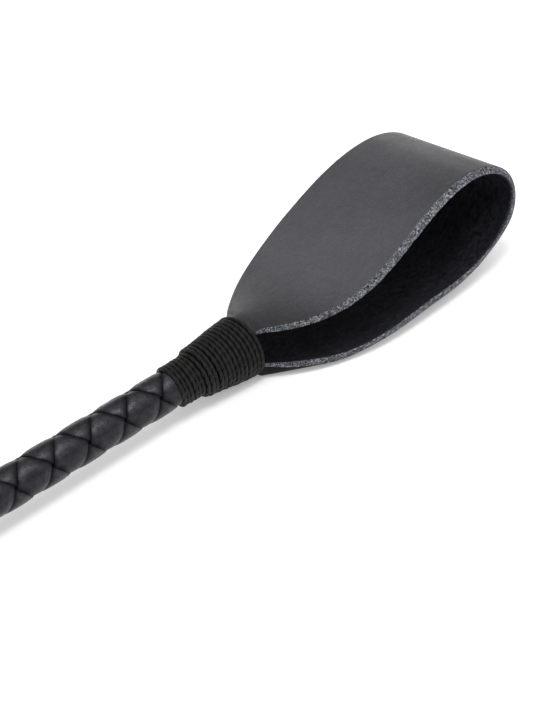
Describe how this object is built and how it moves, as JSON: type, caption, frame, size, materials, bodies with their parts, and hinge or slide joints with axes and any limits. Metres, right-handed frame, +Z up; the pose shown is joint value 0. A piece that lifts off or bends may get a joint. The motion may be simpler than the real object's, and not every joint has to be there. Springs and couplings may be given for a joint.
{
  "type": "riding crop",
  "caption": "Riding crop with a braided leather shaft, a wide folded leather tongue bound on with waxed cord, a leather grip and a wrist loop.",
  "frame": {"origin": "under the middle of the crop, on the surface it lies on", "axes": "+X along the crop from butt to tongue, +Z up"},
  "size_m": [0.6715, 0.05, 0.03],
  "materials": {
    "glass_fibre": "satin pultruded rod",
    "padding": "matte felt",
    "braid_leather": "semi-gloss black leather",
    "thread": "matte thread",
    "waxed_cord": "waxed twisted cord",
    "tongue_leather": "fine-grained satin charcoal leather",
    "former_wood": "turned beech",
    "grip_leather": "satin black leather",
    "cap_plastic": "satin moulded",
    "steel": "drawn",
    "strap_leather": "satin black leather"
  },
  "bodies": {
    "root": {"core_rod": "glass_fibre", "shaft_underlay": "padding", "strand_1": "braid_leather", "strand_2": "braid_leather", "strand_3": "braid_leather", "strand_4": "braid_leather", "strand_end_binding": "thread", "tip_whipping": "waxed_cord", "tongue_tails": "tongue_leather", "grip_former": "former_wood", "grip_cover": "grip_leather", "grip_stitches": "thread", "grip_top_whipping": "waxed_cord", "grip_butt_whipping": "waxed_cord", "butt_cap": "cap_plastic", "cap_screw": "steel", "strap_pin": "steel", "wrist_strap_tails": "strap_leather"},
    "tongue": {"tongue": "tongue_leather"},
    "wrist_strap": {"wrist_strap": "strap_leather"}
  },
  "joints": [
    {"name": "tongue_flex", "type": "hinge", "parent": "root", "child": "tongue", "pos_m": [0.25729, 0, 0.0092], "axis": [0, -1, 0], "range_deg": [-40, 40], "stiffness_Nm_per_rad": 0.3},
    {"name": "strap_swing", "type": "hinge", "parent": "root", "child": "wrist_strap", "pos_m": [-0.17569, 0, 0.01261], "axis": [0, 0, 1], "range_deg": [-90, 90]}
  ]
}
